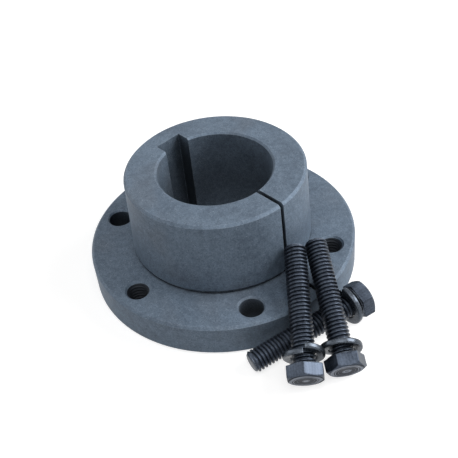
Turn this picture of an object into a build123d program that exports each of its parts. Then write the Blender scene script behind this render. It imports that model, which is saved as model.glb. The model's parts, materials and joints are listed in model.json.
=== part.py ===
"""Quick disconnect bushing with its cap screws and lock washers, in millimetres.

A split taper bushing stands on its flange. Two cap screws lean on the flange's rim with their
heads on the floor, and the third lies on the floor beside the flange, under the other two. A
lock washer hangs loose on each screw. The origin is on the bore's axis at the flange's back
face, +Z points to the hub's nose and +X runs through the slit.
"""

import os
from math import cos, hypot, radians, sin, sqrt, tan

from build123d import *

inch = 25.4

# Flange, reaching as far past the hole centres as they stand off the hub's foot
rim_reach = 0.375 * inch
flange_t = 15.1
flange_chamfer = 1.0

# Hub, widest at the flange, with a taper of three quarters of an inch to the foot
overall_len = 2.0 * inch
taper_d = 3.125 * inch
taper_rate = 0.75 / 12
nose_chamfer = 1.0
relief_w = 1.8
relief_depth = 1.2

# Bore, and the keyway opposite the slit
bore_d = 1.9375 * inch
bore_chamfer = 0.8
key_w = 0.5 * inch
keyway_depth = 0.25 * inch
keyway_r = 0.5

# Slit through one side of hub and flange
slit_w = 1.8

# Holes on one bolt circle round the hub, drilled and tapped by turns
hole_reach = 0.375 * inch
holes_per_set = 3
first_drilled = 90
drilled_play = inch / 32
drilled_chamfer = 0.7
tapped_chamfer = 0.8

# Cap screws, three eighths of an inch across the thread
screw_d = 0.375 * inch
crest_play = 0.17
screw_len = 50.0
tip_chamfer = 0.9
head_sides = 6
head_flats = 14.1
head_h = 5.9
washer_face_d = 13.4
washer_face_h = 0.4
head_end_d = 13.2
head_chamfer_angle = 30

# Spring lock washers, each split with its ends bent apart
washer_play = 0.78
washer_w = 3.3
washer_t = 2.4
washer_edge = 0.5
washer_step = 2.3
split_w = 0.7

# Gaps between loose pieces that touch, and between them and the floor, and what counts as touching
lay_gap = 0.1
floor_gap = 0.02
touch = 0.01

# Screw 1 leans on the flange's rim until its tip meets the hub
bearing_1 = 136.4
crossing_1 = -12.0
roll_1 = 55.5
tip_gap_1 = 0.15

# Screw 2 leans beside screw 1, on the rim or on screw 3, with its tip short of the hub
bearing_2 = 144.6
roll_2 = 31.5
tip_gap_2 = 4.5

# Screw 3 lies beside the flange, its head a little past the place where it comes nearest
bearing_3 = -103.2
roll_3 = 11.2
foot_3 = 24.3

# Each washer's place on its shank, turn of its split from the top, and tilts of top and side
station_1 = 4.4
split_1 = 0
tilt_1 = (3.0, -0.7)
station_2 = 3.9
split_2 = 175
tilt_2 = (1.0, -6.4)
station_3 = 3.5
split_3 = 20
tilt_3 = (-0.7, 8.2)

# Points tried round a screw's tip, halvings that find a place of rest, and the angles tried
tip_points = 24
halvings = 13
flattest = 5
steepest = 60
most_dip = 30
widest_fan = 90

# Sizes that follow
hub_r = taper_d / 2
bolt_circle_r = hub_r + hole_reach
flange_r = bolt_circle_r + rim_reach
hub_len = overall_len - flange_t
nose_r = hub_r - taper_rate / 2 * hub_len
bore_r = bore_d / 2
keyway_floor = sqrt(bore_r**2 - (key_w / 2) ** 2) + keyway_depth
hole_turn = 180 / holes_per_set
drilled_r = (screw_d + drilled_play) / 2
tapped_r = screw_d / 2
thread_r = (screw_d - crest_play) / 2
corner_r = head_flats / 2 / cos(radians(180 / head_sides))
head_end_r = head_end_d / 2
corner_drop = (corner_r - head_end_r) * tan(radians(head_chamfer_angle))
washer_bore_r = thread_r + washer_play / 2
washer_r = washer_bore_r + washer_w
washer_h = washer_t + washer_step


def off_axis(point):
    """Distance of a point from the Z axis."""
    return hypot(point.X, point.Y)


def settle(gap, low, high):
    """Value between low and high at which gap, which grows with it, passes nought."""
    for _ in range(halvings):
        middle = (low + high) / 2
        if gap(middle) < 0:
            low = middle
        else:
            high = middle
    return high


def lay(point, bearing, rise):
    """Plane across a shank at a point, its normal from head to tip and +X upwards."""
    level = Vector(cos(radians(bearing)), sin(radians(bearing)), 0)
    along = level * cos(radians(rise)) + Vector(0, 0, sin(radians(rise)))
    up = Vector(0, 0, cos(radians(rise))) - level * sin(radians(rise))
    return Plane(point, x_dir=up, z_dir=along)


def rolled(plane, turn):
    """A plane turned about its own normal."""
    return Plane(plane.location * Location((0, 0, 0), (0, 0, turn)))


def lowest(piece):
    """Height of a piece's lowest point."""
    return piece.bounding_box().min.Z


def washer_seat(seat, roll, station, drop, split, tilt):
    """Plane for a washer on a shank, a drop below its axis, with its split on +X."""
    middle = Location((-drop, 0, station), (tilt[1], -tilt[0], 0))
    return Plane(rolled(seat, -roll).location * middle * Location((0, 0, 0), (0, 0, split)))


def washer_drop(tilt):
    """How far a washer that is tilted may hang before its bore meets the shank."""
    return washer_play / 2 - lay_gap - washer_h / 2 * sin(radians(abs(tilt[0])))


# Cap screw, upright on its tip's side of the plane under its head
with BuildPart() as cap_screw:
    with BuildSketch(Plane.XY.offset(-head_h)):
        RegularPolygon(head_flats / 2, head_sides, major_radius=False)
    extrude(amount=head_h - washer_face_h)
    # Corners turned off to a cone at the outer end
    with BuildSketch(Plane.XZ):
        with BuildLine():
            Polyline(
                (head_end_r, -head_h),
                (2 * corner_r - head_end_r, -head_h),
                (2 * corner_r - head_end_r, 2 * corner_drop - head_h),
                close=True,
            )
        make_face()
    revolve(axis=Axis.Z, mode=Mode.SUBTRACT)
    with BuildSketch(Plane.XY.offset(-washer_face_h)):
        Circle(washer_face_d / 2)
    extrude(amount=washer_face_h)
    with BuildSketch():
        Circle(thread_r)
    extrude(amount=screw_len)
    chamfer(faces().sort_by(Axis.Z)[-1].edges(), tip_chamfer)

# Half a lock washer, flat at the back and bent up towards the split on +X
with BuildPart() as half_washer:
    with BuildSketch(Plane.XZ):
        with BuildLine():
            back = Line((-washer_r, 0), (-washer_bore_r, 0))
            bend = TangentArc(back @ 1, (washer_r, washer_step / 2), tangent=back % 1)
            Line(bend @ 1, bend @ 1 + (bend % 1) * washer_t)
        trace(line_width=washer_t)
    extrude(amount=-2 * washer_r)
    with BuildSketch(Plane.XY.offset(-washer_h)):
        Circle(washer_r)
        Circle(washer_bore_r, mode=Mode.SUBTRACT)
        Rectangle(2 * washer_r, washer_r, align=(Align.CENTER, Align.MAX), mode=Mode.SUBTRACT)
        Rectangle(washer_r, split_w / 2, align=(Align.MIN, Align.MIN), mode=Mode.SUBTRACT)
    extrude(amount=2 * washer_h, mode=Mode.INTERSECT)
    outer_edges = edges().filter_by(lambda e: off_axis(e @ 0.5) > washer_r - touch)
    chamfer(outer_edges.filter_by(GeomType.LINE, reverse=True), washer_edge)

# Lock washer, the second half turned over so that its end bends down
with BuildPart() as lock_washer:
    add(half_washer.part)
    with Locations(Location((0, 0, 0), (180, 0, 0))):
        add(half_washer.part)

# Flange
with BuildPart() as flange:
    with BuildSketch():
        Circle(flange_r)
    extrude(amount=flange_t)
    chamfer(flange.edges(), flange_chamfer)

# Tapered hub with a relief groove turned round its foot
with BuildPart() as hub:
    with BuildSketch(Plane.XZ):
        with BuildLine():
            Polyline((0, flange_t), (hub_r, flange_t), (nose_r, overall_len), (0, overall_len), close=True)
        make_face()
        chamfer(vertices().group_by(Axis.Y)[-1].sort_by(Axis.X)[-1], nose_chamfer)
        with Locations((hub_r, flange_t)):
            groove = (2 * relief_depth, relief_w)
            Rectangle(*groove, align=(Align.CENTER, Align.MIN), mode=Mode.SUBTRACT)
    revolve(axis=Axis.Z)

# Bushing: flange and hub bored, slit and drilled
with BuildPart() as flanged_bushing:
    add(flange.part)
    add(hub.part)
    with Locations(Plane.XY.offset(overall_len)):
        Hole(bore_r)
    chamfer(edges(Select.LAST).filter_by(GeomType.CIRCLE), bore_chamfer)
    # Keyway along the whole bore
    with BuildSketch():
        Rectangle(keyway_floor, key_w, align=(Align.MAX, Align.CENTER))
        fillet(vertices().group_by(Axis.X)[0], keyway_r)
    extrude(amount=overall_len, mode=Mode.SUBTRACT)
    # Slit from the bore out through hub and flange
    with BuildSketch():
        Rectangle(flange_r, slit_w, align=(Align.MIN, Align.CENTER))
    extrude(amount=overall_len, mode=Mode.SUBTRACT)
    # Drilled holes that pass the screws, and tapped holes that they push the bushing out by
    with Locations(Plane.XY.offset(flange_t)):
        with PolarLocations(bolt_circle_r, holes_per_set, start_angle=first_drilled):
            Hole(drilled_r)
    chamfer(edges(Select.LAST).filter_by(GeomType.CIRCLE).group_by(Axis.Z)[-1], drilled_chamfer)
    with Locations(Plane.XY.offset(flange_t)):
        with PolarLocations(bolt_circle_r, holes_per_set, start_angle=first_drilled + hole_turn):
            Hole(tapped_r)
    chamfer(edges(Select.LAST).filter_by(GeomType.CIRCLE).group_by(Axis.Z)[-1], tapped_chamfer)


# Edges that decide where the loose pieces come to rest
rim_edge = flange.edges().group_by(Axis.Z)[-1][0]
washer_rims = lock_washer.edges().filter_by(lambda e: off_axis(e @ 0.5) > washer_r - touch)
washer_rims = washer_rims.filter_by(GeomType.LINE, reverse=True)


def lie(dip, distance, height):
    """Seats of screw 3 and its washer, the tip dipped, the shank's line some way from the bore."""
    level = lay((0, 0, 0), bearing_3, 0)
    start = level.y_dir * -distance - level.z_dir * foot_3 + Vector(0, 0, height)
    seat = rolled(lay(start, bearing_3, -dip), roll_3)
    return seat, washer_seat(seat, roll_3, station_3, -washer_drop(tilt_3), split_3, tilt_3)


def washer_stands(dip):
    """How much higher washer 3's lowest point is than screw 3's."""
    seat, ring = lie(dip, 0, 0)
    return lowest(lock_washer.part.moved(ring.location)) - lowest(cap_screw.part.moved(seat.location))


def beside_flange(distance):
    """Room left between the flange and screw 3 with its washer."""
    seat, ring = lie(dip_3, distance, height_3)
    line = Edge.make_line(seat.origin, seat.origin + seat.z_dir * screw_len)
    washer_room = min(e.moved(ring.location).distance_to(flange.part) for e in washer_rims)
    return min(line.distance_to(flange.part) - thread_r, washer_room) - lay_gap


dip_3 = settle(washer_stands, 0, most_dip)
height_3 = floor_gap - lowest(cap_screw.part.moved(lie(dip_3, 0, 0)[0].location))
distance_3 = settle(beside_flange, flange_r, flange_r + 2 * washer_r)
seat_3, ring_3 = lie(dip_3, distance_3, height_3)
line_3 = Edge.make_line(seat_3.origin, seat_3.origin + seat_3.z_dir * screw_len)


def hub_gap(seat):
    """Gap between the hub's taper and the tip of a screw on a seat."""
    end = Edge.make_circle(thread_r - tip_chamfer, seat.offset(screw_len))
    shank = Edge.make_circle(thread_r, seat.offset(screw_len - tip_chamfer))
    points = [ring @ (n / tip_points) for ring in (end, shank) for n in range(tip_points)]
    return min(off_axis(p) - hub_r + taper_rate / 2 * (p.Z - flange_t) for p in points)


def washer_gap(ring):
    """Gap, at the least, between a washer on a leaning screw and screw 3's shank."""
    return Edge.make_circle(washer_r, ring).distance_to(line_3) - thread_r - washer_h / 2


def lean(bearing, crossing, roll, tip_gap, washer):
    """Seats of a screw that leans on the rim and on screw 3, its head on the floor, and its washer."""
    rim = Vector(flange_r * cos(radians(crossing)), flange_r * sin(radians(crossing)), 0)
    level = lay((0, 0, 0), bearing, 0).z_dir

    def on_rim(rise):
        tipped = rolled(lay((0, 0, 0), bearing, rise), roll)
        height = floor_gap - lowest(cap_screw.part.moved(tipped.location))
        under_rim = rim + Vector(0, 0, height)
        nearest = (flange_t - height) / tan(radians(rise))

        def gap(reach):
            start = under_rim - level * reach
            line = Edge.make_line(start, start + tipped.z_dir * 2 * screw_len)
            return min(line.distance_to(rim_edge), line.distance_to(line_3) - thread_r) - thread_r - lay_gap

        reach = settle(gap, nearest, nearest + screw_len)
        return Plane(under_rim - level * reach, x_dir=tipped.x_dir, z_dir=tipped.z_dir)

    def seats(rise):
        seat = on_rim(rise)
        return seat, washer_seat(seat, roll, *washer)

    def too_steep(rise):
        seat, ring = seats(rise)
        return max(tip_gap - hub_gap(seat), lay_gap - washer_gap(ring))

    return seats(settle(too_steep, flattest, steepest))


def beside_screw_1(crossing):
    """Room left beside screw 1 and its washer for screw 2, when that crosses the rim at an angle."""
    trial = lean(bearing_2, crossing, roll_2, tip_gap_2, washer_2)[0]
    leaning_2 = cap_screw.part.moved(trial.location)
    washer_room = min(e.moved(ring_1.location).distance_to(leaning_2) for e in washer_rims)
    return min(leaning_2.distance_to(leaning_1), washer_room) - lay_gap


washer_1 = (station_1, washer_drop(tilt_1), split_1, tilt_1)
washer_2 = (station_2, washer_drop(tilt_2), split_2, tilt_2)
seat_1, ring_1 = lean(bearing_1, crossing_1, roll_1, tip_gap_1, washer_1)
leaning_1 = cap_screw.part.moved(seat_1.location)
crossing_2 = settle(beside_screw_1, crossing_1, crossing_1 + widest_fan)
seat_2, ring_2 = lean(bearing_2, crossing_2, roll_2, tip_gap_2, washer_2)

os.makedirs("parts", exist_ok=True)
flanged_bushing.part.label = "flanged_bushing"
export_step(flanged_bushing.part, "parts/flanged_bushing.step")

for number, (seat, ring) in enumerate(((seat_1, ring_1), (seat_2, ring_2), (seat_3, ring_3)), 1):
    with BuildPart(seat) as placed_screw:
        add(cap_screw.part)
    placed_screw.part.label = f"cap_screw_{number}"
    export_step(placed_screw.part, f"parts/cap_screw_{number}.step")
    with BuildPart(ring) as placed_washer:
        add(lock_washer.part)
    placed_washer.part.label = f"lock_washer_{number}"
    export_step(placed_washer.part, f"parts/lock_washer_{number}.step")
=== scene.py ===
"""Looks of a quick disconnect bushing with its cap screws and lock washers, in metres.

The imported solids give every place. The bushing keeps its solid and gets a phosphate finish, and
its tapped holes get threads. Each screw and lock washer is replaced by a finer piece on its seat:
a screw with a rolled thread and a turned hexagon head, and a washer with rounded edges.
"""

import json
from math import cos, radians, sin, tan, tau

import bpy
import numpy as np
from mathutils import Matrix, Vector


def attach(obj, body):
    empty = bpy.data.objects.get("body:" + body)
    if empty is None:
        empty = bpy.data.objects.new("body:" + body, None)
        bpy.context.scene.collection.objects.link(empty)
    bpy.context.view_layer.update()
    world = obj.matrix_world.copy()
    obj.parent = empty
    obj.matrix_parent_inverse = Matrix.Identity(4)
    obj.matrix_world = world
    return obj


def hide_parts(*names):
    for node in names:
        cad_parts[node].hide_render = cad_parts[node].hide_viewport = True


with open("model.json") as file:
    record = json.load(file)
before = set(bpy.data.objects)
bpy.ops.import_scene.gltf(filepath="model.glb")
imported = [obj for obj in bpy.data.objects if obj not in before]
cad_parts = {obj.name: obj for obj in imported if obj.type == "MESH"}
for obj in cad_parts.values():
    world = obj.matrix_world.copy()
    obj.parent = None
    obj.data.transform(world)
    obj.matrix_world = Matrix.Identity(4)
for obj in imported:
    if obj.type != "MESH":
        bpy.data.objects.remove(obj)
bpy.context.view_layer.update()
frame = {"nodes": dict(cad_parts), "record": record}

mm = 0.001
inch = 25.4 * mm

# Points of a mesh that are nearer to each other than this become one
weld = 0.001 * mm

# Screws, as the solids have them
screw_len = 50.0 * mm
head_h = 5.9 * mm
head_flats = 14.1 * mm
head_sides = 6
head_end_r = 6.6 * mm
head_chamfer = radians(30)
washer_face_r = 6.7 * mm
washer_face_h = 0.4 * mm
tip_r = 3.78 * mm

# Thread of sixteen turns to the inch, inside the solids' shanks and holes. On the way from root to
# crest it starts to rise at the one share, and is at its full height at the other.
pitch = inch / 16
rise_start, rise_end = 0.06, 0.86
crest_r = 4.67 * mm
root_r = 3.75 * mm
neck_r = 4.2 * mm
thread_in_head = 1.0 * mm

# Lock washers
washer_bore_r = 5.0675 * mm
washer_w = 3.3 * mm
washer_t = 2.4 * mm
washer_step = 2.3 * mm
washer_round = 0.75 * mm
split_w = 0.7 * mm
washer_rows = 121
washer_round_rows = 6

# Tapped holes, whose threads stay a little clear of the flange's two faces
flange_t = 15.1 * mm
first_tapped = radians(150)
tap_root_r = 4.73 * mm
tap_crest_r = 4.02 * mm
tap_wall_r = 5.8 * mm
tap_mouth_r = 5.5625 * mm
tap_back_r = 4.3 * mm
tap_sink = 0.03 * mm
tap_back_gap = 0.05 * mm
tap_mouth_gap = 0.02 * mm

# Camera, at the photograph's place
camera_place = Vector((218.0, -178.5, 261.9)) * mm
camera_forward = Vector((-0.57708, 0.48315, -0.65844)).normalized()
camera_roll = -0.1134
camera_lens = 65.88


class Value:
    """An output socket of a tree, whose arithmetic adds Math nodes."""

    def __init__(self, nodes, socket):
        self.nodes = nodes
        self.socket = socket

    def other(self, name):
        """Another output of the same node."""
        return Value(self.nodes, self.socket.node.outputs[name])

    def maths(self, operation, *values):
        """A Math node's result on values, which are sockets or numbers."""
        return self.nodes.add("ShaderNodeMath", {"operation": operation}, dict(enumerate(values)))

    def through(self, operation):
        """The value put through an operation that takes no other."""
        return self.maths(operation, self)

    def __add__(self, value):
        return self.maths("ADD", self, value)

    def __radd__(self, value):
        return self.maths("ADD", value, self)

    def __sub__(self, value):
        return self.maths("SUBTRACT", self, value)

    def __rsub__(self, value):
        return self.maths("SUBTRACT", value, self)

    def __mul__(self, value):
        return self.maths("MULTIPLY", self, value)

    def __rmul__(self, value):
        return self.maths("MULTIPLY", value, self)

    def __truediv__(self, value):
        return self.maths("DIVIDE", self, value)

    def __pow__(self, value):
        return self.maths("POWER", self, value)

    def __abs__(self):
        return self.maths("ABSOLUTE", self)

    def __gt__(self, value):
        return self.maths("GREATER_THAN", self, value)

    def __lt__(self, value):
        return self.maths("LESS_THAN", self, value)

    def at_least(self, value):
        return self.maths("MAXIMUM", self, value)

    def at_most(self, value):
        return self.maths("MINIMUM", self, value)


class Nodes:
    """A node tree that is filled one node at a time."""

    def __init__(self, tree):
        self.tree = tree

    def add(self, kind, settings=None, values=None, output=0):
        """Output of a new node, whose settings are set before its sockets get values or links."""
        node = self.tree.nodes.new(kind)
        for name, setting in (settings or {}).items():
            setattr(node, name, setting)
        for name, value in (values or {}).items():
            if isinstance(value, Value):
                self.tree.links.new(value.socket, node.inputs[name])
            else:
                node.inputs[name].default_value = value
        return Value(self, node.outputs[output]) if node.outputs else None


def ranged(value, low, high):
    """A value that climbs smoothly from nought at low to one at high."""
    return value.nodes.add(
        "ShaderNodeMapRange",
        {"interpolation_type": "SMOOTHSTEP"},
        {"Value": value, "From Min": low, "From Max": high},
    )


def parts_of(nodes, vector):
    """The X of a vector, whose other outputs are its Y and Z."""
    return nodes.add("ShaderNodeSeparateXYZ", values={0: vector})


def from_z(place):
    """Distance from the Z axis of a place given as its parts."""
    return (place ** 2 + place.other("Y") ** 2) ** 0.5


# What the frame says of each node's place. Faces count as square to an axis within 25 degrees.
square_on = cos(radians(25))


def facets(node):
    """Middles, areas and outward normals of a node's triangles, and the triangles' corners."""
    mesh = frame["nodes"][node].data
    mesh.calc_loop_triangles()
    points = np.array([v.co for v in mesh.vertices])
    corners = points[np.array([t.vertices for t in mesh.loop_triangles])]
    across = np.cross(corners[:, 1] - corners[:, 0], corners[:, 2] - corners[:, 0])
    size = np.linalg.norm(across, axis=1)
    kept = size > 0
    corners, across, size = corners[kept], across[kept], size[kept]
    return corners.mean(axis=1), size / 2, across / size[:, None], corners


def unit(vector):
    return vector / np.linalg.norm(vector)


def square_to(axis, areas, normals):
    """The direction that the faces most nearly square to an axis share."""
    facing = normals @ axis
    ends = abs(facing) > square_on
    return unit((areas[ends] * np.sign(facing[ends])) @ normals[ends])


def seat(origin, x_axis, z_axis):
    """Matrix of a place with its X and Z directions."""
    y_axis = np.cross(z_axis, x_axis)
    matrix = Matrix.Identity(4)
    for column, vector in enumerate((x_axis, y_axis, z_axis, origin)):
        matrix.col[column][:3] = vector
    return matrix


def screw_seat(node):
    """Place under a screw's head, +Z to the tip, +X square to the flat that faces up most."""
    end_depth, edge_on, nearly = 0.05 * mm, 0.02, 0.98
    middles, areas, normals, _ = facets(node)
    spread = middles - middles.mean(axis=0)
    axis = square_to(np.linalg.eigh(spread.T @ spread)[1][:, -1], areas, normals)
    along = middles @ axis
    if areas @ along / areas.sum() > (along.min() + along.max()) / 2:
        axis = -axis
        along = -along
    head_end = along < along.min() + end_depth
    middle = areas[head_end] @ middles[head_end] / areas[head_end].sum()
    origin = middle + axis * head_h
    away = np.einsum("ij,ij->i", middles - origin, normals)
    flats = (abs(normals @ axis) < edge_on) & (away > nearly * head_flats / 2)
    upmost = normals[flats][normals[flats][:, 2].argmax()]
    return seat(origin, unit(upmost - axis * (upmost @ axis)), axis)


def washer_seat(node):
    """Place of a lock washer's middle, +Z along its bore and +X through its split."""
    outward, sideways = 0.95, 0.3
    middles, areas, normals, corners = facets(node)
    spread = middles - middles.mean(axis=0)
    axis = square_to(np.linalg.eigh(spread.T @ spread)[1][:, 0], areas, normals)
    balance = areas @ middles / areas.sum()
    out = middles - balance
    out -= np.outer(out @ axis, axis)
    out /= np.linalg.norm(out, axis=1)[:, None]
    facing = np.einsum("ij,ij->i", out, normals)
    across = unit(np.cross(axis, (0, 0, 1)))
    level = np.cross(axis, across)
    # The rim's points lie on a circle, whose middle comes from a least-squares fit
    rim = corners[facing > outward].reshape(-1, 3) - balance
    flat = np.column_stack((rim @ across, rim @ level))
    terms = np.column_stack((2 * flat, np.ones(len(flat))))
    fit = np.linalg.lstsq(terms, (flat**2).sum(axis=1), rcond=None)[0]
    middle = balance + across * fit[0] + level * fit[1]
    # The split's two ends face along the ring
    ends = (abs(facing) < sideways) & (abs(normals @ axis) < sideways)
    split = areas[ends] @ (middles[ends] - middle)
    return seat(middle, unit(split - axis * (split @ axis)), axis)


# Meshes. Edges that turn by more than this stay sharp.
sharp_turn = radians(20)


def mesh_of_rings(name, rings):
    """Closed mesh of rings of points, each end closed to a point."""
    columns = len(rings[0])
    points = [rings[0].mean(axis=0), *np.concatenate(rings), rings[-1].mean(axis=0)]
    faces = []
    for k in range(columns):
        after = (k + 1) % columns
        faces.append((0, 1 + after, 1 + k))
        for n in range(len(rings) - 1):
            low, high = 1 + n * columns, 1 + (n + 1) * columns
            faces.append((low + k, low + after, high + after, high + k))
        last = 1 + (len(rings) - 1) * columns
        faces.append((last + k, last + after, len(points) - 1))
    mesh = bpy.data.meshes.new(name)
    mesh.from_pydata([tuple(p) for p in points], [], faces)
    mesh.shade_smooth()
    mesh.set_sharp_from_angle(angle=sharp_turn)
    return mesh


def head_mesh(name):
    """Hexagon head with its corners turned to a cone, slightly rounded edges and a washer face."""
    # Directions, in degrees from a side's middle, and depths, in millimetres from the head's end,
    # lie close together where the surface turns
    steps = np.radians([-30, -29.4, -28.6, -27, -22, -12, 0, 12, 22, 27, 28.6, 29.4])
    end_shares = (0.25, 0.5, 0.75, 0.9, 0.97)
    cone_depths = (0.0, 0.05, 0.1, 0.16, 0.22, 0.28, 0.35, 0.45, 0.55, 0.65, 0.75, 0.85, 0.95,
                   1.1, 1.4, 2.2, 3.4, 4.6)
    foot_steps = ((0, 0.35), (0.02, 0.2), (0.08, 0.09), (0.18, 0.02), (0.35, 0))
    face_steps = ((0, -0.1), (0.03, -0.03), (0.1, 0), (1.0, 0), (3.5, 0))
    sharpness = 90.0
    side_angle = tau / head_sides
    angles = np.concatenate([steps + side_angle * side for side in range(head_sides)])

    def least(*radii):
        """Radius of the nearest of several walls, eased where two meet."""
        return sum(r ** -sharpness for r in radii) ** (-1 / sharpness)

    def ring(radius, height):
        radius = np.broadcast_to(radius, angles.shape)
        heights = np.full(len(angles), height)
        return np.column_stack((radius * np.cos(angles), radius * np.sin(angles), heights))

    # Each side's wall, which is far off in the directions that it doesn't face
    walls = []
    for side in range(head_sides):
        facing = np.cos(angles - side_angle * side).clip(1e-3)
        walls.append(head_flats / 2 / facing)
    flats = least(*walls)
    rings = [ring(share * head_end_r, -head_h) for share in end_shares]
    for depth in cone_depths:
        cone = head_end_r + depth * mm / tan(head_chamfer)
        rings.append(ring(least(flats, np.full(len(angles), cone)), depth * mm - head_h))
    for inset, rise in foot_steps:
        rings.append(ring(flats - inset * mm, -washer_face_h - rise * mm))
    rings.append(ring(washer_face_r, -washer_face_h))
    for inset, height in face_steps:
        rings.append(ring(washer_face_r - inset * mm, height * mm))
    return mesh_of_rings(name, rings)


# Geometry node trees

def new_tree(name, inputs):
    """An empty geometry tree that takes a mesh, named inputs and a material, and its inputs."""
    tree = bpy.data.node_groups.new(name, "GeometryNodeTree")
    tree.interface.new_socket("Geometry", in_out="OUTPUT", socket_type="NodeSocketGeometry")
    tree.interface.new_socket("Geometry", in_out="INPUT", socket_type="NodeSocketGeometry")
    for label, kind in inputs.items():
        tree.interface.new_socket(label, in_out="INPUT", socket_type=kind)
    tree.interface.new_socket("Finish", in_out="INPUT", socket_type="NodeSocketMaterial")
    nodes = Nodes(tree)
    return nodes, nodes.add("NodeGroupInput")


def stored(nodes, geometry, name, value):
    """Geometry whose points carry a named value for the finish to read."""
    return nodes.add(
        "GeometryNodeStoreNamedAttribute",
        {"data_type": "FLOAT", "domain": "POINT"},
        {"Geometry": geometry, "Name": name, "Value": value},
    )


def welded(nodes, geometry):
    """Geometry with its seams joined and its faces smooth."""
    values = {"Geometry": geometry, "Distance": weld}
    joined = nodes.add("GeometryNodeMergeByDistance", values=values)
    return nodes.add("GeometryNodeSetShadeSmooth", values={"Geometry": joined})


def end_tree(nodes, given, geometry):
    """Ends a tree: what it made joins the mesh it was given, as a plain mesh in one finish.

    Each point keeps its distance from the piece's axis, for the turned marks.
    """
    joined = nodes.add("GeometryNodeJoinGeometry", values={0: geometry})
    nodes.tree.links.new(given.other("Geometry").socket, joined.socket.node.inputs[0])
    real = nodes.add("GeometryNodeRealizeInstances", values={0: joined})
    place = parts_of(nodes, nodes.add("GeometryNodeInputPosition"))
    measured = stored(nodes, real, "off_axis", from_z(place))
    finished = nodes.add("GeometryNodeSetMaterial", values={
        "Geometry": measured, "Material": given.other("Finish"),
    })
    nodes.add("NodeGroupOutput", values={"Geometry": finished})
    return nodes.tree


def thread_tree():
    """A thread between two heights: a sheared grid whose rows follow the helix, closed at its ends.

    Row by row the grid goes round from the start's closing radius through the turns to the end's.
    A bolt closes on its axis. A nut closes on the wall behind its thread, and a last row shuts it.
    Its points keep how high on the tooth they lie, and that they are of the shank.
    """
    floats = (
        "Start", "End", "Pitch", "Root", "Crest", "Closing", "Start cone", "End cone", "Slope")
    inputs = {label: "NodeSocketFloat" for label in floats}
    inputs |= {"Columns": "NodeSocketInt", "Rows a turn": "NodeSocketInt", "Shut": "NodeSocketInt"}
    nodes, given = new_tree("thread", inputs)
    start, end, turn, root, crest, closing, start_cone, end_cone, slope = map(given.other, floats)
    per_turn = given.other("Rows a turn")
    turns = ((end - start) / turn + 2).through("CEIL")
    thread_rows = turns * per_turn + 1
    rows = thread_rows + 2 + given.other("Shut")
    grid = nodes.add("GeometryNodeMeshGrid", values={
        "Size X": 1.0, "Size Y": 1.0, "Vertices X": given.other("Columns") + 1, "Vertices Y": rows,
    })
    place = parts_of(nodes, nodes.add("GeometryNodeInputPosition"))
    around = place + 0.5
    row = ((place.other("Y") + 0.5) * (rows - 1)).through("ROUND")
    spot = (row - 1) / per_turn
    raw = start + turn * (spot - 1 + around)
    height = raw.at_least(start).at_most(end)
    # Height of the tooth: nought in the root, one on the crest, eased at both
    part = spot.through("FRACT")
    ridge = 1 - abs(2 * part - 1)
    tooth = ranged(ridge, rise_start, rise_end)
    profile = root + (crest - root) * tooth
    # Cones at the ends, which narrow a bolt and widen a nut
    outward = (crest > root) * 2 - 1
    start_wall = start_cone * outward + slope * (height - start)
    end_wall = end_cone * outward + slope * (end - height)
    limited = (profile * outward).at_most(start_wall).at_most(end_wall) * outward
    # What a cone has cut counts as crest, since it stands clear of the groove
    cut = abs(limited - profile) > weld
    # Rows that lie past an end are drawn in to that end's cone
    below, above = raw < start, raw > end
    limited = limited * (1 - below) + start_cone * below
    limited = limited * (1 - above) + end_cone * above
    first, last = row < 0.5, row > thread_rows + 0.5
    shut = row > thread_rows + 1.5
    radius = limited * (1 - first) * (1 - last) + closing * (first + last)
    height = height * (1 - first) * (1 - last) + start * (first + shut) + end * (last - shut)
    angle = around * tau
    position = nodes.add("ShaderNodeCombineXYZ", values={
        "X": radius * angle.through("COSINE"),
        "Y": radius * angle.through("SINE"),
        "Z": height,
    })
    wound = nodes.add("GeometryNodeSetPosition", values={"Geometry": grid, "Position": position})
    worn = stored(nodes, wound, "tooth", tooth.at_least(cut) * (1 - first) * (1 - last))
    marked = stored(nodes, worn, "shank", 1.0)
    return end_tree(nodes, given, welded(nodes, marked))


def washer_tree():
    """A lock washer: a rounded section swept round, then bent.

    It is bent up on one side of the split and down on the other.
    """
    floats = ("Bore radius", "Width", "Thickness", "Rounding", "Split", "Step")
    nodes, given = new_tree("lock washer", {label: "NodeSocketFloat" for label in floats})
    bore, width, split = given.other("Bore radius"), given.other("Width"), given.other("Split")
    middle = bore + width / 2
    half_gap = (split / 2 / middle).through("ARCSINE")
    ring = nodes.add("GeometryNodeCurveArc", {"mode": "RADIUS"}, {
        "Resolution": washer_rows,
        "Radius": middle,
        "Start Angle": half_gap,
        "Sweep Angle": tau - 2 * half_gap,
    })
    section = nodes.add("GeometryNodeCurvePrimitiveQuadrilateral", {"mode": "RECTANGLE"}, {
        "Width": width,
        "Height": given.other("Thickness"),
    })
    rounded = nodes.add("GeometryNodeFilletCurve", {"mode": "POLY"}, {
        "Curve": section,
        "Radius": given.other("Rounding"),
        "Count": washer_round_rows,
    })
    swept = nodes.add("GeometryNodeCurveToMesh", values={
        "Curve": ring,
        "Profile Curve": rounded,
        "Fill Caps": True,
    })
    place = parts_of(nodes, nodes.add("GeometryNodeInputPosition"))
    reach = (place + bore).at_least(0.0)
    side = (place.other("Y") > 0.0) * 2 - 1
    full = 2 * bore + width
    rise = side * given.other("Step") / 2 * (reach / full) ** 2
    bent = nodes.add("GeometryNodeSetPosition", values={
        "Geometry": swept,
        "Offset": nodes.add("ShaderNodeCombineXYZ", values={"Z": rise}),
    })
    return end_tree(nodes, given, welded(nodes, bent))


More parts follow.
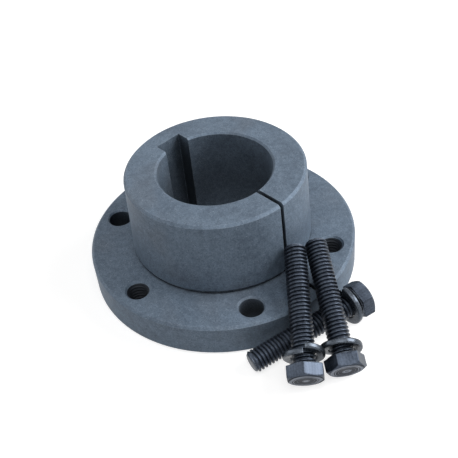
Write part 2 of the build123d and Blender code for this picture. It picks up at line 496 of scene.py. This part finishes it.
def grown(name, tree, values, place, mesh=None):
    """A piece that a tree makes from named values, set in its place and left as a plain mesh."""
    holder = bpy.data.objects.new(name + "_draft", mesh or bpy.data.meshes.new(name + "_draft"))
    bpy.context.scene.collection.objects.link(holder)
    modifier = holder.modifiers.new("shape", "NODES")
    modifier.node_group = tree
    sockets = [item for item in tree.interface.items_tree if item.in_out == "INPUT"]
    identifiers = {socket.name: socket.identifier for socket in sockets}
    for label, value in values.items():
        modifier[identifiers[label]] = value
    shown = holder.evaluated_get(bpy.context.evaluated_depsgraph_get())
    made = bpy.data.meshes.new_from_object(shown)
    made.name = name
    bpy.data.objects.remove(holder)
    made.transform(place)
    piece = bpy.data.objects.new(name, made)
    bpy.context.scene.collection.objects.link(piece)
    return piece


# Finishes

def colour(red, green, blue):
    """An opaque colour."""
    return (red, green, blue, 1.0)


# Tones of the phosphate
deep_blue = colour(0.074, 0.101, 0.14)
pale_blue = colour(0.182, 0.24, 0.31)
warm_grey = colour(0.13, 0.132, 0.142)
fleck_grey = colour(0.32, 0.37, 0.43)
pit_grey = colour(0.06, 0.075, 0.1)
rubbed_grey = colour(0.33, 0.385, 0.45)
# Painted shade: the near-black of the bushing's bore, holes and slit
hollow_shade_colour = colour(0.01, 0.012, 0.015)
# Painted shade: the near-black in the roots of the tapped threads
painted_root_shade = colour(0.015, 0.018, 0.024)

# Tones of the black oxide
# Dark oil on the head's end, and also the colour of painted shade in hollows and thread roots
oil_and_shade = colour(0.004, 0.005, 0.008)
tooled = colour(0.19, 0.225, 0.29)
rubbed_steel = colour(0.27, 0.315, 0.38)


def finish(name):
    """A new material, with its nodes and object coordinates."""
    material = bpy.data.materials.new(name)
    material.use_nodes = True
    material.node_tree.nodes.clear()
    nodes = Nodes(material.node_tree)
    spots = nodes.add("ShaderNodeTexCoord", output="Object")
    return material, nodes, spots


def noise(nodes, spots, size, detail=3.0, roughness=0.5):
    """Noise from nought to one, with features of about a size."""
    values = {"Vector": spots, "Scale": 1 / size, "Detail": detail, "Roughness": roughness}
    return nodes.add("ShaderNodeTexNoise", values=values, output="Fac")


def patches(nodes, spots, size, low, high, detail=3.0, roughness=0.5):
    """Soft patches of about a size: one where the noise is past high, nought where short of low."""
    return ranged(noise(nodes, spots, size, detail, roughness), low, high)


def mixed(nodes, share, first, second):
    """Two colours mixed by a share of the second."""
    values = {0: share, 6: first, 7: second}
    settings = {"data_type": "RGBA", "clamp_factor": True}
    return nodes.add("ShaderNodeMix", settings, values, output=2)


def eased_normal(nodes, reach):
    """The normal, turned smoothly over edges within a reach."""
    return nodes.add("ShaderNodeBevel", {"samples": 8}, {"Radius": reach})


def edges_of(nodes, reach):
    """How near a sharp edge a point lies: one on it, nought from a reach away."""
    face = nodes.add("ShaderNodeNewGeometry", output="Normal")
    both = {0: eased_normal(nodes, reach), 1: face}
    facing = nodes.add("ShaderNodeVectorMath", {"operation": "DOT_PRODUCT"}, both, output="Value")
    return ranged(1 - facing, 0.004, 0.07)


def hollows_of(nodes, reach):
    """How much of its own piece stands round a point within a reach: nought in the open."""
    settings = {"samples": 8, "only_local": True}
    return 1 - nodes.add("ShaderNodeAmbientOcclusion", settings, {"Distance": reach}, "AO")


def lines_along(nodes, distance, width):
    """Fine uneven lines across a distance, from nought to one."""
    values = {"W": distance, "Scale": 1 / width, "Detail": 3.0, "Roughness": 0.7}
    return nodes.add("ShaderNodeTexNoise", {"noise_dimensions": "1D"}, values, output="Fac")


def attribute(nodes, name):
    """A value that the mesh keeps at its points, or nought where it keeps none."""
    return nodes.add("ShaderNodeAttribute", {"attribute_name": name}, output="Fac")


def roughened(nodes, strength, depth, height, ease):
    """The normal, eased over edges within a reach and roughened by a height from nought to one."""
    return nodes.add("ShaderNodeBump", values={
        "Strength": strength, "Distance": depth, "Height": height,
        "Normal": eased_normal(nodes, ease),
    })


def surface(nodes, base, roughness, metallic, reflection, normal):
    """Ends a finish: the shader and the output."""
    shader = nodes.add("ShaderNodeBsdfPrincipled", values={
        "Base Color": base, "Roughness": roughness, "Metallic": metallic,
        "Specular IOR Level": reflection, "Normal": normal,
    })
    nodes.add("ShaderNodeOutputMaterial", values={"Surface": shader})


def phosphate(name, hollow_shade_share, threaded):
    """Matte blue-grey phosphate on turned iron, cloudy and speckled, with painted shade in its
    hollows.

    Its edges are paler, and so are the crests of the threads. The threads' roots are painted nearly
    black as shade.
    """
    material, nodes, spots = finish(name)
    clouds = patches(nodes, spots, 17 * mm, 0.3, 0.7)
    mottle = patches(nodes, spots, 2.6 * mm, 0.32, 0.68, 3.0, 0.6)
    grain = patches(nodes, spots, 0.9 * mm, 0.3, 0.7, 2.0, 0.6)
    specks = patches(nodes, spots, 0.42 * mm, 0.35, 0.7, 1.0)
    warm = patches(nodes, spots, 26 * mm, 0.52, 0.7, 2.0)
    flecks = patches(nodes, spots, 0.3 * mm, 0.62, 0.74, 1.0)
    pits = patches(nodes, spots, 0.6 * mm, 0.4, 0.28, 1.0)
    edge = edges_of(nodes, 0.5 * mm)
    # Painted shade: darker where its own piece closes round a point, in the bore, holes and slit
    shade_in_hollows = ranged(hollows_of(nodes, 80 * mm), 0.5, 0.8)

    # Marks of turning: rings on the faces square to the bore, bands on the walls round it
    place = parts_of(nodes, spots)
    facing = parts_of(nodes, nodes.add("ShaderNodeNewGeometry", output="Normal"))
    square = abs(facing.other("Z")) > 0.7
    turned = from_z(place) * square + place.other("Z") * (1 - square)
    turning = lines_along(nodes, turned, 0.45 * mm)

    tone = clouds * 0.28 + mottle * 0.24 + grain * 0.32 + specks * 0.18 + turning * 0.12 - 0.06
    base = mixed(nodes, tone, deep_blue, pale_blue)
    base = mixed(nodes, warm * 0.2, base, warm_grey)
    base = mixed(nodes, flecks * (0.25 + 0.5 * mottle), base, fleck_grey)
    base = mixed(nodes, pits * 0.5, base, pit_grey)
    base = mixed(nodes, edge * (0.1 + 0.45 * grain * mottle), base, rubbed_grey)
    base = mixed(nodes, shade_in_hollows * hollow_shade_share, base, hollow_shade_colour)
    if threaded:
        # Painted shade: the thread is near-black in its roots and reaches its own colour on the
        # crests
        crest = mixed(nodes, 0.25, base, rubbed_grey)
        base = mixed(nodes, attribute(nodes, "tooth"), painted_root_shade, crest)
    height = grain * 0.5 + specks * 0.25 + mottle * 0.4 + turning * 0.3
    normal = roughened(nodes, 0.5, 0.05 * mm, height, 0.15 * mm)
    surface(nodes, base, 0.46 + 0.14 * clouds + 0.12 * grain, 0.3, 0.2, normal)
    return material


def black_oxide(name, dark, pale, edge_reach, gloss, threaded):
    """Black oxide on steel: blue-black, paler where it rubs, with turned marks and painted shade in
    its hollows.

    On a screw the thread's flanks and roots are painted dark as shade too, and the tool's marks
    show on the head's end.
    """
    material, nodes, spots = finish(name)
    off_axis = attribute(nodes, "off_axis")
    clouds = patches(nodes, spots, 5 * mm, 0.3, 0.7)
    grain = patches(nodes, spots, 0.8 * mm, 0.3, 0.7, 3.0, 0.65)
    streaks = ranged(lines_along(nodes, off_axis, 0.35 * mm), 0.3, 0.7)
    edge = edges_of(nodes, edge_reach)
    # Painted shade: darker where the piece's own shape closes round a point
    shade_in_crevices = ranged(hollows_of(nodes, 1.6 * mm), 0.2, 0.75)
    base = mixed(nodes, 0.35 * clouds + 0.4 * grain + 0.4 * streaks - 0.1, dark, pale)
    roughness = gloss + 0.1 * clouds + 0.12 * grain
    if threaded:
        # Uneven arcs round the axis, on the head's end alone
        shank = attribute(nodes, "shank")
        sway = noise(nodes, spots, 7 * mm, 2.0) * 3.0 * mm
        arcs = ranged(lines_along(nodes, off_axis + sway, 1.6 * mm), 0.42, 0.6)
        on_end = (1 - shank) * (off_axis < head_end_r + 0.3 * mm)
        base = mixed(nodes, on_end * arcs * 0.6, base, tooled)
        base = mixed(nodes, on_end * (1 - arcs) * 0.85, base, oil_and_shade)
        roughness = roughness + on_end * (1 - arcs) * 0.35
    base = mixed(nodes, edge * (0.25 + 0.6 * grain), base, rubbed_steel)
    if threaded:
        # Painted shade: the thread's flanks and roots are darkened, and only its crests keep their
        # colour
        crest_left_unshaded = ranged(attribute(nodes, "tooth") + 0.2 * grain, 0.75, 1.1)
        base = mixed(nodes, shank * (1 - crest_left_unshaded), base, oil_and_shade)
    # Painted shade in the crevices
    base = mixed(nodes, shade_in_crevices * 0.8, base, oil_and_shade)
    normal = roughened(nodes, 0.2, 0.03 * mm, grain + 0.4 * streaks, 0.25 * mm)
    surface(nodes, base, roughness, 0.75, 0.3, normal)
    return material


# The second number is how strongly painted shade darkens each finish's hollows
bushing_finish = phosphate("phosphate", 0.9, False)
tap_finish = phosphate("phosphate_in_threads", 0.3, True)
screw_finish = black_oxide(
    "black_oxide_screw", colour(0.02, 0.026, 0.038), colour(0.08, 0.1, 0.135),
    0.35 * mm, 0.25, True)
washer_finish = black_oxide(
    "black_oxide_washer", colour(0.03, 0.037, 0.047), colour(0.1, 0.118, 0.145),
    0.5 * mm, 0.16, False)

# Bushing, on its own solid
bushing = frame["nodes"]["flanged_bushing"]
bushing.data.materials.clear()
bushing.data.materials.append(bushing_finish)

threads = thread_tree()
washers = washer_tree()

# Threads of the tapped holes
tapped = next(m for m in frame["record"]["mounts"] if m["name"] == "tapped_holes")["dims"]
circle_r = tapped["pcd_mm"] / 2 * mm
for number in range(tapped["count"]):
    bearing = first_tapped + number * tau / tapped["count"]
    place = Matrix.Translation((circle_r * cos(bearing), circle_r * sin(bearing), 0))
    tap = grown(f"tapped_thread_{number + 1}", threads, {
        "Start": tap_back_gap, "End": flange_t - tap_mouth_gap, "Pitch": pitch,
        "Root": tap_root_r, "Crest": tap_crest_r, "Closing": tap_wall_r,
        "Start cone": tap_back_r, "End cone": tap_mouth_r + tap_sink, "Slope": 1.0,
        "Columns": 48, "Rows a turn": 12, "Shut": 1, "Finish": tap_finish,
    }, place)
    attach(tap, "root")

# Screws and lock washers
for number in (1, 2, 3):
    screw = grown(f"threaded_screw_{number}", threads, {
        "Start": -thread_in_head, "End": screw_len, "Pitch": pitch,
        "Root": root_r, "Crest": crest_r, "Closing": 0.0,
        "Start cone": neck_r, "End cone": tip_r, "Slope": 1.0,
        "Columns": 64, "Rows a turn": 16, "Shut": 0, "Finish": screw_finish,
    }, screw_seat(f"cap_screw_{number}"), head_mesh(f"head_{number}"))
    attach(screw, "root")
    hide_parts(f"cap_screw_{number}")
    washer = grown(f"spring_washer_{number}", washers, {
        "Bore radius": washer_bore_r, "Width": washer_w, "Thickness": washer_t,
        "Rounding": washer_round, "Split": split_w, "Step": washer_step, "Finish": washer_finish,
    }, washer_seat(f"lock_washer_{number}"))
    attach(washer, "root")
    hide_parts(f"lock_washer_{number}")


def seen_share(nodes):
    """One where the camera, a reflection or clear material looks, nought for light that falls."""
    camera_ray = nodes.add("ShaderNodeLightPath", output="Is Camera Ray")
    glossy, clear = camera_ray.other("Is Glossy Ray"), camera_ray.other("Is Transmission Ray")
    return camera_ray.at_least(glossy).at_least(clear)


# Floor, white where it is seen. Its glow is dimmed under and close round the object, a painted
# shade that shows through the bore and in reflections and also leaves the object's shadow on it,
# and it is strongest far away, where it would meet the sky in a grey band.
floor_half = 4.0
floor_under = 0.01 * mm
shadow_reach = 55 * mm
floor_finish, nodes, spots = finish("white_floor")
away = from_z(parts_of(nodes, spots))
# Painted shade: the glow is lowest within shadow_reach of the axis, under the bushing
glow = 0.15 + 0.6 * (away > shadow_reach) + 0.25 * ranged(away, 0.2, 0.6)
matte = nodes.add("ShaderNodeBsdfDiffuse", values={"Color": colour(0.5, 0.5, 0.5)})
glowing = nodes.add("ShaderNodeEmission", values={
    "Color": colour(1, 1, 1), "Strength": seen_share(nodes) * glow,
})
both = nodes.add("ShaderNodeAddShader", values={0: matte, 1: glowing})
nodes.add("ShaderNodeOutputMaterial", values={"Surface": both})
floor_mesh = bpy.data.meshes.new("floor")
turns = ((-1, -1), (1, -1), (1, 1), (-1, 1))
floor_points = [(floor_half * x, floor_half * y, -floor_under) for x, y in turns]
floor_mesh.from_pydata(floor_points, [], [(0, 1, 2, 3)])
floor_mesh.materials.append(floor_finish)
floor = bpy.data.objects.new("floor", floor_mesh)
bpy.context.scene.collection.objects.link(floor)

# World: faint light from all round, white where it is seen
world = bpy.data.worlds.new("studio")
world.use_nodes = True
world.node_tree.nodes.clear()
nodes = Nodes(world.node_tree)
sky = nodes.add("ShaderNodeBackground", values={
    "Color": colour(1, 1, 1), "Strength": 0.1 + 0.9 * seen_share(nodes),
})
nodes.add("ShaderNodeOutputWorld", values={"Surface": sky})
bpy.context.scene.world = world


def soft_light(name, place, aim, size, power):
    """A square soft light that faces a point."""
    lamp = bpy.data.lights.new(name, "AREA")
    lamp.shape = "SQUARE"
    lamp.size = size
    lamp.energy = power
    holder = bpy.data.objects.new(name, lamp)
    holder.location = place
    holder.rotation_euler = (Vector(aim) - Vector(place)).to_track_quat("-Z", "Y").to_euler()
    bpy.context.scene.collection.objects.link(holder)


# Lamps: one behind at the right, one overhead and one low at the left
heart = (0.02, -0.01, 0.025)
soft_light("right_light", (0.456, 0.543, 0.554), heart, 0.5, 7.4)
soft_light("top_light", (0.291, -0.244, 0.816), heart, 0.6, 3.0)
soft_light("left_light", (-0.72, -0.4, 0.34), heart, 0.5, 1.3)

# Camera, turned about its own line of sight
level = camera_forward.cross(Vector((0, 0, 1))).normalized()
upright = level.cross(camera_forward)
right = cos(camera_roll) * level + sin(camera_roll) * upright
camera = bpy.data.objects.new("camera", bpy.data.cameras.new("camera"))
camera.data.lens = camera_lens
camera.matrix_world = seat(camera_place, right, -camera_forward)
bpy.context.scene.collection.objects.link(camera)
bpy.context.scene.camera = camera
bpy.context.scene.view_settings.view_transform = "Standard"
